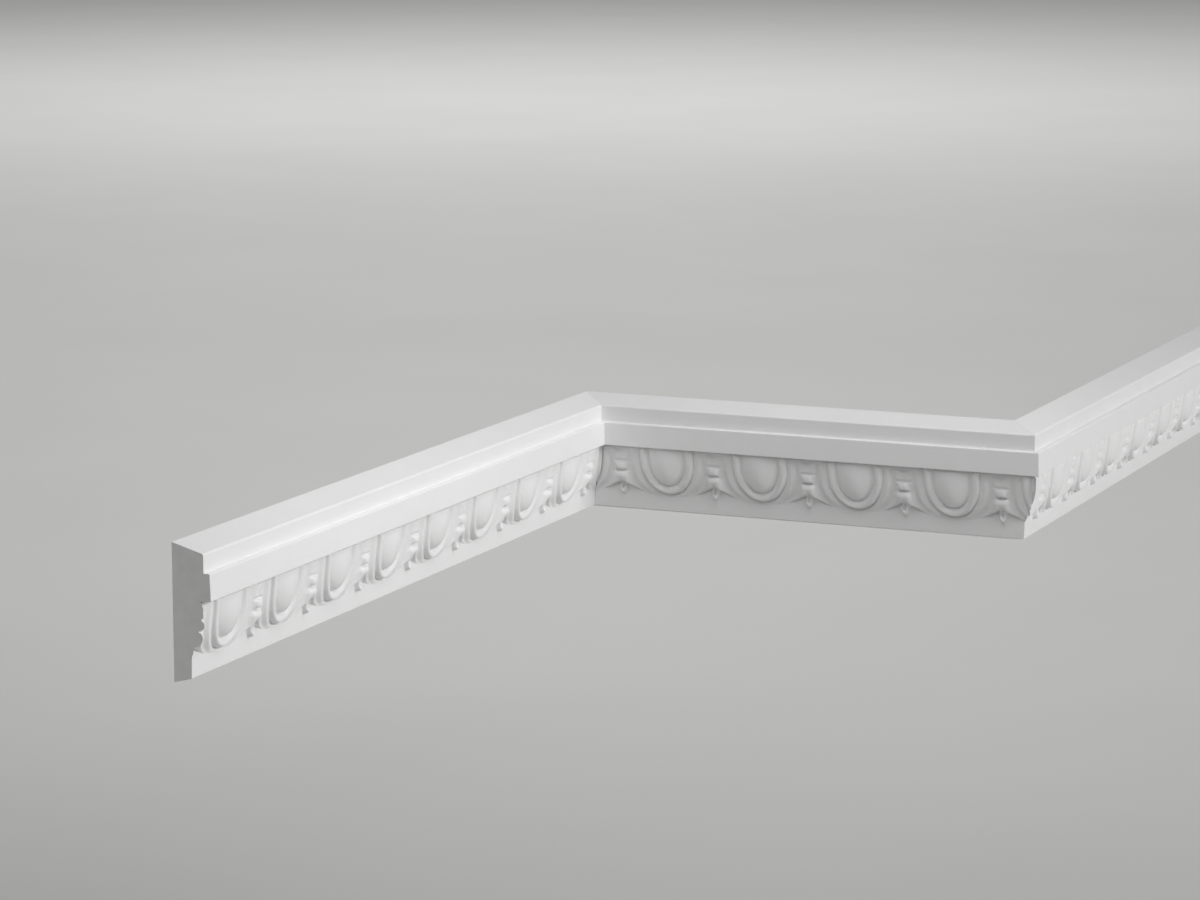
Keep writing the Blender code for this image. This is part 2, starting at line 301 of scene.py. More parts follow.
    def frame(self, across: np.ndarray, down: np.ndarray) -> np.ndarray:
        """Gives the rise of the rounded frame: an easy slope inside and a full round outside.

        Args:
            across: Distance from the egg's middle.
            down: Share of the way down the band.

        Returns:
            The rise, as a share of the carving's rise.
        """
        radius = np.maximum(self.arch(across, down, self.egg_half_width, self.egg_drop), 1.0)
        aside = self.aside_share(across, radius)
        top = self.crest_below + (self.crest_aside - self.crest_below) * aside
        inside = radius - 1.0
        outside = np.maximum(
            1.0 - self.arch(across, down, self.frame_half_width, self.frame_drop), 0.0
        )
        inside = inside * self.egg_half_width
        outside = outside * self.frame_half_width
        share = inside / np.maximum(inside + outside, SMALLEST_WIDTH)
        rise = np.sin(0.5 * np.pi * np.clip(share / top, 0.0, 1.0))
        fall = np.clip((share - top) / (1.0 - top), 0.0, 1.0)
        drop = 1.0 - np.sqrt(1.0 - fall**2)
        groove = falling(self.egg_groove, down)
        crest = falling(self.frame_rim, down)
        foot = falling(self.ground, down)
        return np.where(
            share < top,
            groove + (crest - groove) * rise,
            crest + (foot - crest) * drop,
        )

    def crevices(self, across: np.ndarray, down: np.ndarray) -> np.ndarray:
        """Gives the depth of the fine crevices beside the frame and under the soffit.

        Args:
            across: Distance from the egg's middle.
            down: Share of the way down the band.

        Returns:
            The depth, as a share of the carving's rise.
        """
        inner = self.arch(across, down, self.egg_half_width, self.egg_drop) - 1.0
        outer = self.arch(across, down, self.frame_half_width, self.frame_drop) - 1.0
        inner = inner * self.egg_half_width / self.crevice_width
        outer = outer * self.frame_half_width / self.crevice_width
        depth = self.crevice_depths[1] * np.clip(down, self.crevice_least, 1.0)
        beside = self.crevice_depths[0] * np.exp(-(inner**2)) + depth * np.exp(-(outer**2))
        depth, height = self.soffit_recess
        return beside + depth * eased(self.soffit_recess_fade * (1.0 - down / height))

    def frame_edge(self, down: np.ndarray) -> np.ndarray:
        """Gives how far the frame's outer edge stands from the dart's middle."""
        below = np.clip((down - self.arch_start) / self.frame_drop, 0.0, 1.0)
        return 0.5 - self.frame_half_width * np.sqrt(1.0 - below**2)

    def cross_groove(self, groove: Band, aside: np.ndarray, down: np.ndarray) -> np.ndarray:
        """Cuts a level groove across the dart that fades out at its ends.

        Args:
            groove: Middle down the band, half height, half width, depth.
            aside: Distance from the dart's middle.
            down: Share of the way down the band.

        Returns:
            The groove's depth.
        """
        middle, half_height, half_width, depth = groove
        level = eased(1.0 - np.abs(down - middle) / half_height)
        return depth * level * eased(self.groove_fade * (1.0 - aside / half_width))

    def dart_bands(self, aside: np.ndarray, down: np.ndarray, creased: np.ndarray) -> np.ndarray:
        """Gives the changes that the dart's grooves, bead, notch and crease make.

        Args:
            aside: Distance from the dart's middle.
            down: Share of the way down the band.
            creased: 1 on the darts that have the fine crease, else 0.

        Returns:
            The change of the rise.
        """
        middle, half_height, half_width, rise = self.bead
        across = (aside / half_width) ** self.bead_squareness
        upright = (np.abs(down - middle) / half_height) ** self.bead_squareness
        lean = 1.0 + self.bead_lean * (down - middle) / half_height
        bead = rise * lean * np.sqrt(np.clip(1.0 - across - upright, 0.0, 1.0))
        depth, reach, bottom, fade = self.notch
        notch = depth * eased((bottom - down) / fade - aside / reach)
        middle, half_height, half_width, depth = self.crease
        stroke = eased(self.crease_fade * (1.0 - np.abs(down - middle) / half_height))
        crease = creased * depth * stroke * np.exp(-((aside / half_width) ** 2))
        grooves = self.cross_groove(self.upper_groove, aside, down)
        grooves = grooves + self.cross_groove(self.lower_groove, aside, down)
        return bead - grooves - notch - crease

    def tongue_relief(self, aside: np.ndarray, down: np.ndarray) -> np.ndarray:
        """Gives the small drop under the dart: a raised rim round a sunken middle.

        Args:
            aside: Distance from the dart's middle.
            down: Share of the way down the band.

        Returns:
            The drop's rise over the foot of the band.
        """
        middle, half_height, half_width = self.tongue
        radius = np.hypot(aside / half_width, (down - middle) / half_height)
        rim = eased((1.0 - radius) / self.tongue_rim_fade)
        hollow = eased((self.tongue_hollow_edge - radius) / self.tongue_hollow_fade)
        lean = self.tongue_lean * np.maximum(middle - down, 0.0)
        return rim * (self.tongue_rim + lean) - self.tongue_hollow * hollow

    def dart(self, aside: np.ndarray, down: np.ndarray, creased: np.ndarray) -> np.ndarray:
        """Gives the rise of the dart, its leaves, and the foot of the band under them.

        Args:
            aside: Distance from the dart's middle.
            down: Share of the way down the band.
            creased: 1 on the darts that have the fine crease, else 0.

        Returns:
            The rise, as a share of the carving's rise.
        """
        lines = [
            (np.zeros_like(down), along(self.dart_middle, 1, down)),
            (along(self.dart_crest, 1, down), along(self.dart_crest, 2, down)),
            (along(self.dart_flute, 1, down), along(self.dart_flute, 2, down)),
            (along(self.leaf_ridge, 1, down), along(self.leaf_ridge, 2, down)),
            (self.frame_edge(down), falling(self.ground, down)),
        ]
        leaves = lines[0][1]
        for (start, low), (end, high) in zip(lines, lines[1:]):
            share = (aside - start) / np.maximum(end - start, SMALLEST_SHARE)
            leaves = np.where(aside > start, low + (high - low) * eased(share), leaves)
        leaves = leaves + self.dart_bands(aside, down, creased)
        edge = along(self.leaf_edge, 1, aside)
        under_leaf = eased((down - edge) / self.leaf_edge_softness + 0.5)
        shelf = self.leaf_shelf * eased((self.leaf_edge[-1][1] - down) / self.leaf_shelf_fade)
        depth, width = self.leaf_crevice
        open_leaf = eased(1.0 - self.tongue_relief(aside, down) / depth)
        end, fade = self.leaf_crevice_end
        open_leaf = open_leaf * eased((end - aside) / fade)
        crevice = depth * open_leaf * np.exp(-(((down - edge) / width - 1.0) ** 2))
        below = np.maximum(shelf + self.tongue_relief(aside, down), 0.0) - crevice
        return leaves * (1.0 - under_leaf) + below * under_leaf

    def relief(self, pitches: np.ndarray, down: np.ndarray) -> np.ndarray:
        """Gives the carving's rise before it is softened.

        Args:
            pitches: Distance along the run from a plain dart, in pitches.
            down: Share of the way down the band.

        Returns:
            The rise, as a share of the carving's rise.
        """
        across = np.abs(pitches - np.floor(pitches) - 0.5)
        aside = 0.5 - across
        creased = (np.round(pitches) % UNIT_PITCHES == 1).astype(float)
        in_egg = self.arch(across, down, self.egg_half_width, self.egg_drop) < 1.0
        in_frame = self.arch(across, down, self.frame_half_width, self.frame_drop) < 1.0
        plain = np.where(in_frame, self.frame(across, down), self.dart(aside, down, creased))
        rise = np.where(in_egg, self.egg(across, down), plain)
        return rise - self.crevices(across, down)

    def softened(self, places: np.ndarray, downs: np.ndarray, height: float) -> np.ndarray:
        """Gives the carving's rise over one unit, with the soft edges of a casting.

        Args:
            places: Columns to read, in pitches from the unit's start.
            downs: Rows to read, as shares of the way down the band.
            height: Height of the band in metres.

        Returns:
            A grid of rises, one row for each share down.
        """
        fine_across = np.arange(self.fine_columns) * UNIT_PITCHES / self.fine_columns
        fine_down = np.linspace(0.0, 1.0, self.fine_rows + 1)
        grid = self.relief(*np.meshgrid(fine_across, fine_down))
        column_step = UNIT_PITCHES * self.pitch / self.fine_columns
        grid = blurred(grid, self.softness / column_step, 1, True)
        grid = blurred(grid, self.softness / (height / self.fine_rows), 0, False)
        columns = np.array([
            np.interp(places % UNIT_PITCHES, fine_across, row, period=UNIT_PITCHES)
            for row in grid
        ])
        return np.array([
            np.interp(downs, fine_down, columns[:, number]) for number in range(len(places))
        ]).T


@dataclass(frozen=True)
class Profile:
    """Sizes of the plain members, from the top down, and how far they stand out from the wall."""

    top_slope_drop: float = 0.0058
    upper_fascia: float = 0.0127
    projecting_fascia: float = 0.0176
    soffit_drop: float = 0.0004
    band: float = 0.0391
    foot: float = 0.0111
    underside_drop: float = 0.0033
    foot_depth: float = 0.0129
    carving_rise: float = 0.0119
    fascia_cover: float = 0.0024
    ledge_step: float = 0.0049
    fascia_batter: float = 0.0006
    top_edge_radius: float = 0.0014
    ledge_hollow_radius: float = 0.0004
    ledge_edge_radius: float = 0.0006
    soffit_edge_radius: float = 0.0003
    foot_edge_radius: float = 0.0004
    edge_margin: float = 0.0004
    top_arc_steps: int = 5
    small_arc_steps: int = 2
    blank_margin: float = 0.004

    @property
    def front(self) -> float:
        """Depth of the projecting fascia's lower edge."""
        return self.foot_depth + self.carving_rise + self.fascia_cover

    @property
    def band_top(self) -> float:
        """How far down the carved band starts."""
        return (
            self.top_slope_drop + self.upper_fascia + self.projecting_fascia + self.soffit_drop
        )

    @property
    def height(self) -> float:
        """The whole height of the moulding."""
        return self.band_top + self.band + self.foot + self.underside_drop

    def corner(
        self,
        before: Corner,
        tip: Corner,
        after: Corner,
        radius: float,
        steps: int,
    ) -> list[Corner]:
        """Rounds a corner of the profile, with a narrow margin on both sides.

        Args:
            before: The profile's point before the corner, as (out, down).
            tip: The sharp corner.
            after: The point after it.
            radius: Radius of the rounding.
            steps: Steps round its arc.

        Returns:
            The points that take the corner's place.
        """
        tip_at = Vector(tip)
        back = (Vector(before) - tip_at).normalized()
        ahead = (Vector(after) - tip_at).normalized()
        half_turn = back.angle(ahead) / 2.0
        reach = radius / math.tan(half_turn)
        centre = tip_at + (back + ahead).normalized() * radius / math.sin(half_turn)
        start = tip_at + back * reach - centre
        end = tip_at + ahead * reach - centre
        points = [tip_at + back * (reach + self.edge_margin)]
        for step in range(steps + 1):
            points.append(centre + start.slerp(end, step / steps).normalized() * radius)
        points.append(tip_at + ahead * (reach + self.edge_margin))
        return [tuple(point) for point in points]

    def upper(self) -> list[Corner]:
        """Gives the profile from behind the wall's top edge to under the soffit's edge.

        Returns:
            The points, as (out, down).
        """
        face = self.front - self.ledge_step
        rise = self.top_slope_drop / (face - self.top_edge_radius)
        ledge = self.top_slope_drop + self.upper_fascia
        soffit = ledge + self.projecting_fascia
        bends = [
            (-self.blank_margin, -rise * self.blank_margin),
            (face, rise * face),
            (face, ledge),
            (self.front - self.fascia_batter, ledge),
            (self.front, soffit),
            (self.foot_depth + self.carving_rise, self.band_top),
        ]
        arcs = (
            (self.top_edge_radius, self.top_arc_steps),
            (self.ledge_hollow_radius, self.small_arc_steps),
            (self.ledge_edge_radius, self.small_arc_steps),
            (self.soffit_edge_radius, self.small_arc_steps),
        )
        points = [bends[0]]
        for number, arc in enumerate(arcs, start=1):
            points += self.corner(*bends[number - 1:number + 2], *arc)
        return points

    def lower(self) -> list[Corner]:
        """Gives the profile from just under the band to behind the wall's lower edge.

        Returns:
            The points, as (out, down).
        """
        foot_top = self.band_top + self.band
        underside = foot_top + self.foot
        lift = self.underside_drop * self.blank_margin / self.foot_depth
        top = (self.foot_depth, foot_top)
        edge = (self.foot_depth - self.fascia_batter / 2, underside)
        behind = (-self.blank_margin, self.height + lift)
        first = (self.foot_depth, foot_top + self.edge_margin)
        arc = self.corner(top, edge, behind, self.foot_edge_radius, self.small_arc_steps)
        return [first, *arc, behind]


class Sheet:
    """A material's node tree, with short calls that add and join its nodes."""

    NOISE_LOW = 0.3
    NOISE_HIGH = 0.7

    def __init__(self, name: str) -> None:
        """Starts a Principled material.

        Args:
            name: Its name.
        """
        self.material = bpy.data.materials.new(name)
        self.material.use_nodes = True
        self.tree = self.material.node_tree
        self.shader = self.tree.nodes["Principled BSDF"]
        self.places = self.add("ShaderNodeTexCoord").outputs["Object"]

    def add(self, kind: str, **settings: object) -> bpy.types.Node:
        """Adds a node.

        Args:
            kind: Its type.
            **settings: Its own settings, by attribute.

        Returns:
            The node.
        """
        node = self.tree.nodes.new(kind)
        for name, value in settings.items():
            setattr(node, name, value)
        return node

    def join(self, source: bpy.types.NodeSocket, target: bpy.types.NodeSocket) -> None:
        """Joins two sockets."""
        self.tree.links.new(source, target)

    def noise(
        self, scale: float, detail: float, stretch: Triple | None = None
    ) -> bpy.types.NodeSocket:
        """Adds a noise over the object's own coordinates.

        Args:
            scale: Waves per metre.
            detail: Finer octaves on top.
            stretch: Scale along each axis, if it isn't even.

        Returns:
            Its value, 0 to 1.
        """
        node = self.add("ShaderNodeTexNoise")
        node.inputs["Scale"].default_value = scale
        node.inputs["Detail"].default_value = detail
        places = self.places
        if stretch is not None:
            mapping = self.add("ShaderNodeMapping")
            mapping.inputs["Scale"].default_value = stretch
            self.join(self.places, mapping.inputs["Vector"])
            places = mapping.outputs["Vector"]
        self.join(places, node.inputs["Vector"])
        return node.outputs["Fac"]

    def ranged(self, source: bpy.types.NodeSocket, low: float, high: float) -> bpy.types.NodeSocket:
        """Maps the middle of a noise to a range.

        Args:
            source: The noise's value.
            low: Result where the noise is low.
            high: Result where it is high.

        Returns:
            The mapped value.
        """
        node = self.add("ShaderNodeMapRange")
        node.inputs["From Min"].default_value = self.NOISE_LOW
        node.inputs["From Max"].default_value = self.NOISE_HIGH
        node.inputs["To Min"].default_value = low
        node.inputs["To Max"].default_value = high
        self.join(source, node.inputs["Value"])
        return node.outputs["Result"]

    def mixed(self, share: bpy.types.NodeSocket, low: Colour, high: Colour) -> bpy.types.NodeSocket:
        """Mixes two colours.

        Args:
            share: How much of the second colour.
            low: The first colour.
            high: The second colour.

        Returns:
            The colour.
        """
        node = self.add("ShaderNodeMix", data_type="RGBA")
        colours = [socket for socket in node.inputs if socket.type == "RGBA"]
        colours[0].default_value = low
        colours[1].default_value = high
        self.join(share, node.inputs["Factor"])
        return next(socket for socket in node.outputs if socket.type == "RGBA")

    def bumped(self, layers: list[tuple[bpy.types.NodeSocket, float]]) -> None:
        """Gives the surface its fine unevenness.

        Args:
            layers: Heights to stack, each with its depth in metres.
        """
        normal = None
        for height, depth in layers:
            node = self.add("ShaderNodeBump")
            node.inputs["Distance"].default_value = depth
            self.join(height, node.inputs["Height"])
            if normal is not None:
                self.join(normal, node.inputs["Normal"])
            normal = node.outputs["Normal"]
        self.join(normal, self.shader.inputs["Normal"])


@dataclass(frozen=True)
class PrimedSkin:
    """The sprayed white primer over the casting: even, soft, with a faint orange peel."""

    name: str = "primed_skin"
    light: Colour = (0.850, 0.850, 0.850, 1.0)
    shade: Colour = (0.825, 0.825, 0.824, 1.0)
    roughness: tuple[float, float] = (0.46, 0.56)
    mottle_scale: float = 34.0
    mottle_detail: float = 3.0
    mottle_share: float = 0.7
    speck_scale: float = 900.0
    speck_share: float = 0.3
    peel_scale: float = 1500.0
    peel_depth: float = 0.000018
    ripple_scale: float = 70.0
    ripple_depth: float = 0.00010
    fine_detail: float = 2.0

    def material(self) -> bpy.types.Material:
        """Builds the material.

        Returns:
            The material.
        """
        sheet = Sheet(self.name)
        mottle = sheet.noise(self.mottle_scale, self.mottle_detail)
        specks = sheet.noise(self.speck_scale, self.fine_detail)
        blend = sheet.add("ShaderNodeMath", operation="MULTIPLY_ADD")
        blend.inputs[1].default_value = self.mottle_share
        sheet.join(mottle, blend.inputs[0])
        faint_specks = sheet.add("ShaderNodeMath", operation="MULTIPLY")
        faint_specks.inputs[1].default_value = self.speck_share
        sheet.join(specks, faint_specks.inputs[0])
        sheet.join(faint_specks.outputs["Value"], blend.inputs[2])
        share = sheet.ranged(blend.outputs["Value"], 0.0, 1.0)
        sheet.join(sheet.mixed(share, self.shade, self.light), sheet.shader.inputs["Base Color"])
        sheet.join(sheet.ranged(specks, *self.roughness), sheet.shader.inputs["Roughness"])
        peel = sheet.noise(self.peel_scale, self.fine_detail)
        ripple = sheet.noise(self.ripple_scale, self.fine_detail)
        sheet.bumped([(ripple, self.ripple_depth), (peel, self.peel_depth)])
        return sheet.material


@dataclass(frozen=True)
class CutCore:
    """The sawn face of the rigid foam inside: pale grey, dull, with tiny open cells."""

    name: str = "cut_core"
    light: Colour = (0.73, 0.73, 0.725, 1.0)
    shade: Colour = (0.68, 0.68, 0.675, 1.0)
    roughness: tuple[float, float] = (0.82, 0.92)
    tone_scale: float = 120.0
    tone_detail: float = 4.0
    cell_scale: float = 1700.0
    cell_depth: float = 0.00006
    saw_scale: float = 260.0
    saw_detail: float = 1.0
    saw_stretch: Triple = (1.0, 1.0, 9.0)
    saw_depth: float = 0.00004

    def material(self) -> bpy.types.Material:
        """Builds the material.

        Returns:
            The material.
        """
        sheet = Sheet(self.name)
        tone = sheet.noise(self.tone_scale, self.tone_detail)
        cells = sheet.add("ShaderNodeTexVoronoi")
        cells.inputs["Scale"].default_value = self.cell_scale
        sheet.join(sheet.places, cells.inputs["Vector"])
        saw = sheet.noise(self.saw_scale, self.saw_detail, self.saw_stretch)
        share = sheet.ranged(tone, 0.0, 1.0)
        sheet.join(sheet.mixed(share, self.shade, self.light), sheet.shader.inputs["Base Color"])
        sheet.join(sheet.ranged(tone, *self.roughness), sheet.shader.inputs["Roughness"])
        sheet.bumped([(saw, self.saw_depth), (cells.outputs["Distance"], self.cell_depth)])
        return sheet.material


@dataclass(frozen=True)
class RawBack:
    """The unprimed back of the casting, struck off level: dull off-white with long faint drags."""

    name: str = "raw_back"
    light: Colour = (0.76, 0.75, 0.72, 1.0)
    shade: Colour = (0.68, 0.67, 0.64, 1.0)
    roughness: tuple[float, float] = (0.72, 0.86)
    tone_scale: float = 55.0
    tone_detail: float = 4.0
    drag_scale: float = 320.0
    drag_detail: float = 2.0
    drag_stretch: Triple = (0.04, 0.04, 1.0)
    drag_depth: float = 0.00012
    pit_scale: float = 420.0
    pit_detail: float = 3.0
    pit_depth: float = 0.00009

    def material(self) -> bpy.types.Material:
        """Builds the material.

        Returns:
            The material.
        """
        sheet = Sheet(self.name)
        tone = sheet.noise(self.tone_scale, self.tone_detail)
        drags = sheet.noise(self.drag_scale, self.drag_detail, self.drag_stretch)
        pits = sheet.noise(self.pit_scale, self.pit_detail)
        share = sheet.ranged(tone, 0.0, 1.0)
        sheet.join(sheet.mixed(share, self.shade, self.light), sheet.shader.inputs["Base Color"])
        sheet.join(sheet.ranged(pits, *self.roughness), sheet.shader.inputs["Roughness"])
        sheet.bumped([(drags, self.drag_depth), (pits, self.pit_depth)])
        return sheet.material


@dataclass(frozen=True)
class FloorPaint:
    """The pale matt floor under the moulding."""

    name: str = "floor_paint"
    light: Colour = (0.74, 0.74, 0.73, 1.0)
    shade: Colour = (0.72, 0.72, 0.71, 1.0)
    roughness: tuple[float, float] = (0.70, 0.80)
    tone_scale: float = 1.6
    tone_detail: float = 3.0
    grain_scale: float = 180.0
    grain_detail: float = 2.0
    grain_depth: float = 0.00005

    def material(self) -> bpy.types.Material:
        """Builds the material.

        Returns:
            The material.
        """
        sheet = Sheet(self.name)
        tone = sheet.noise(self.tone_scale, self.tone_detail)
        grain = sheet.noise(self.grain_scale, self.grain_detail)
        share = sheet.ranged(tone, 0.0, 1.0)
        sheet.join(sheet.mixed(share, self.shade, self.light), sheet.shader.inputs["Base Color"])
        sheet.join(sheet.ranged(grain, *self.roughness), sheet.shader.inputs["Roughness"])
        sheet.bumped([(grain, self.grain_depth)])
        return sheet.material


@dataclass
class CarvedUnit:
    """Two pitches of the whole moulding, which every length repeats."""

    profile: Profile = field(default_factory=Profile)
    carving: Carving = field(default_factory=Carving)
    columns: int = 96
    band_rows: int = 82
    column_crowds: Line = (
        (0.0, 0.05, 0.9), (1.0, 0.05, 0.9), (0.21, 0.035, 1.3), (0.79, 0.035, 1.3),
        (0.306, 0.03, 0.7), (0.694, 0.03, 0.7),
    )
    row_crowds: Line = ((0.33, 0.05, 0.5), (0.54, 0.05, 0.6), (0.80, 0.14, 1.0))

    def places(self) -> np.ndarray:
        """Gives the unit's columns, in pitches from its plain dart."""
        half = spread_places(self.columns, 0.0, 1.0, self.column_crowds)
        return np.concatenate((half, half[1:] + 1.0))

    def rows(self) -> list[tuple[np.ndarray, np.ndarray]]:
        """Gives the unit's rows round the profile.

        Returns:
            The rows, each with how far out and how far down its points are.
        """
        places = self.places()
        downs = spread_places(self.band_rows, 0.0, 1.0, self.row_crowds)
        rises = self.carving.softened(places, downs, self.profile.band)
        level = np.ones_like(places)
        rows = [(out * level, down * level) for out, down in self.profile.upper()]
        for down, rise in zip(downs, rises):
            rows.append((
                self.profile.foot_depth + self.profile.carving_rise * rise,
                (self.profile.band_top + self.profile.band * down) * level,
            ))
        rows += [(out * level, down * level) for out, down in self.profile.lower()]
        return rows

    def build(self) -> bpy.types.Object:
        """Builds the unit as an open tube, closed round its profile.

        Returns:
            The unit, which isn't linked to the scene.
        """
        along_wall = self.places() * self.carving.pitch
        rows = self.rows()
        points = np.concatenate([
            np.column_stack((along_wall, -out, -down)) for out, down in rows
        ])
        width = len(along_wall)
        faces = []
        for row in range(len(rows)):
            below = (row + 1) % len(rows)
            faces += [
                (
                    row * width + column,
                    below * width + column,
                    below * width + column + 1,
                    row * width + column + 1,
                )
                for column in range(width - 1)
            ]
        data = bpy.data.meshes.new("carved_unit")
        data.from_pydata(points.tolist(), [], faces)
        data.validate()
        return bpy.data.objects.new("carved_unit", data)


class UnitRepeat:
    """A Geometry Nodes tree that sets units along a wall and welds them into one skin."""

    INPUTS = (
        ("Unit", "NodeSocketObject"),
        ("Count", "NodeSocketInt"),
        ("First", "NodeSocketFloat"),
        ("Step", "NodeSocketFloat"),
        ("Weld Distance", "NodeSocketFloat"),
        ("Skin", "NodeSocketMaterial"),
    )

    def __init__(self) -> None:
        """Builds the tree."""
        self.tree = bpy.data.node_groups.new("repeat_units", "GeometryNodeTree")
        face = self.tree.interface
        self.keys = {
            name: face.new_socket(name, in_out="INPUT", socket_type=kind).identifier
            for name, kind in self.INPUTS
        }
        face.new_socket("Geometry", in_out="OUTPUT", socket_type="NodeSocketGeometry")
        sizes = self.tree.nodes.new("NodeGroupInput").outputs
        start = self.tree.nodes.new("ShaderNodeCombineXYZ")
        step = self.tree.nodes.new("ShaderNodeCombineXYZ")
        row = self.tree.nodes.new("GeometryNodeMeshLine")
        row.mode = "OFFSET"
        unit = self.tree.nodes.new("GeometryNodeObjectInfo")
        copies = self.tree.nodes.new("GeometryNodeInstanceOnPoints")
        real = self.tree.nodes.new("GeometryNodeRealizeInstances")
        weld = self.tree.nodes.new("GeometryNodeMergeByDistance")
        dressed = self.tree.nodes.new("GeometryNodeSetMaterial")
        result = self.tree.nodes.new("NodeGroupOutput")
        for source, target in (
            (sizes["First"], start.inputs["X"]),
            (sizes["Step"], step.inputs["X"]),
            (sizes["Count"], row.inputs["Count"]),
            (start.outputs["Vector"], row.inputs["Start Location"]),
            (step.outputs["Vector"], row.inputs["Offset"]),
            (row.outputs["Mesh"], copies.inputs["Points"]),
            (sizes["Unit"], unit.inputs["Object"]),
            (unit.outputs["Geometry"], copies.inputs["Instance"]),
            (copies.outputs["Instances"], real.inputs["Geometry"]),
            (real.outputs["Geometry"], weld.inputs["Geometry"]),
            (sizes["Weld Distance"], weld.inputs["Distance"]),
            (weld.outputs["Geometry"], dressed.inputs["Geometry"]),
            (sizes["Skin"], dressed.inputs["Material"]),
            (dressed.outputs["Geometry"], result.inputs["Geometry"]),
        ):
            self.tree.links.new(source, target)

    def mesh(self, name: str, **sizes: object) -> bpy.types.Mesh:
        """Runs the tree once and keeps its result as a plain mesh.

        Args:
            name: Name of the mesh.
            **sizes: The tree's inputs, with underscores for spaces.

        Returns:
            The mesh.
        """
        host = bpy.data.objects.new(name, bpy.data.meshes.new(name))
        bpy.context.scene.collection.objects.link(host)
        repeat = host.modifiers.new("repeat", "NODES")
        repeat.node_group = self.tree
        for size, value in sizes.items():
            repeat[self.keys[size.replace("_", " ")]] = value
        graph = bpy.context.evaluated_depsgraph_get()
        made = bpy.data.meshes.new_from_object(host.evaluated_get(graph))
        bpy.data.objects.remove(host)
        return made


@dataclass
class MouldingLength:
    """One length of the moulding, cut at both ends and set on its wall."""

    name: str
    node: str
    length: float
    first_dart: float
    left_end: EndShape
    right_end: EndShape
    place: Matrix
    profile: Profile = field(default_factory=Profile)
    carving: Carving = field(default_factory=Carving)
    mitre_gap: float = 0.00008
    weld_distance: float = 0.00001
    trim_margin: float = 0.00001
    cut_tolerance: float = 0.0000001

    def end_plane(self, side: Side) -> tuple[Vector, Vector]:
        """Gives the plane that cuts an end.

        Args:
            side: Which end.

        Returns:
            A point on the plane, and its outward normal.
        """
        shape = self.left_end if side is Side.LEFT else self.right_end
        at = 0.0 if side is Side.LEFT else self.length
        normal = Vector((side.value, shape.value, 0.0)).normalized()
        setback = 0.0 if shape is EndShape.SQUARE else self.mitre_gap / 2
        return Vector((at, 0.0, 0.0)) - normal * setback, normal

    def cut(
        self, mesh: bmesh.types.BMesh, point: Vector, outward: Vector, finish: Finish
    ) -> None:
        """Cuts away what lies outside a plane and closes the cut with a flat face.

        Args:
            mesh: The mesh to cut.
            point: A point on the plane.
            outward: The plane's outward normal.
            finish: Finish of the cut face.
        """
        everything = mesh.verts[:] + mesh.edges[:] + mesh.faces[:]
        bmesh.ops.bisect_plane(
            mesh,
            geom=everything,
            dist=self.cut_tolerance,
            plane_co=point,
            plane_no=outward,
            clear_outer=True,
        )
        rim = [edge for edge in mesh.edges if edge.is_boundary]
        for face in bmesh.ops.holes_fill(mesh, edges=rim, sides=0)["faces"]:
            face.material_index = finish.value
            face.smooth = False
            for edge in face.edges:
                edge.smooth = False

    def build(
        self, unit: bpy.types.Object, repeat: UnitRepeat, finishes: list[bpy.types.Material]
    ) -> bpy.types.Object:
        """Args:
            unit: The carved unit that it repeats.
            repeat: The tree that repeats it.
            finishes: Materials of the skin, the cut ends and the back, in the order of Finish.

        Returns:
            The finished piece.
        """
        step = UNIT_PITCHES * self.carving.pitch
        reach = self.profile.front + self.profile.blank_margin
        before = math.ceil((self.first_dart + reach) / step)
        first = self.first_dart - before * step
        count = math.ceil((self.length + reach - first) / step)
        data = repeat.mesh(
            self.name,
            Unit=unit,
            Count=count,
            First=first,
            Step=step,
            Weld_Distance=self.weld_distance,
            Skin=finishes[Finish.SKIN.value],
        )
        data.name = self.name
        data.materials.clear()
        for finish in finishes:
            data.materials.append(finish)
        mesh = bmesh.new()
        mesh.from_mesh(data)
        for face in mesh.faces:
            face.smooth = True
            face.material_index = Finish.SKIN.value
        start = Vector((first, 0.0, 0.0))
        end = Vector((first + count * step, 0.0, 0.0))
        margin = Vector((self.trim_margin, 0.0, 0.0))
        self.cut(mesh, start + margin, Vector((-1.0, 0.0, 0.0)), Finish.CORE)
        self.cut(mesh, end - margin, Vector((1.0, 0.0, 0.0)), Finish.CORE)
        bmesh.ops.recalc_face_normals(mesh, faces=mesh.faces[:])
        self.cut(mesh, Vector((0.0, 0.0, 0.0)), Vector((0.0, 1.0, 0.0)), Finish.BACK)
        self.cut(mesh, *self.end_plane(Side.LEFT), Finish.CORE)
        self.cut(mesh, *self.end_plane(Side.RIGHT), Finish.CORE)
        bmesh.ops.recalc_face_normals(mesh, faces=mesh.faces[:])
        mesh.transform(self.place)
        mesh.to_mesh(data)
        mesh.free()
        piece = bpy.data.objects.new(self.name, data)
        bpy.context.scene.collection.objects.link(piece)
        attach(piece, "root")
        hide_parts(self.node)
        return piece


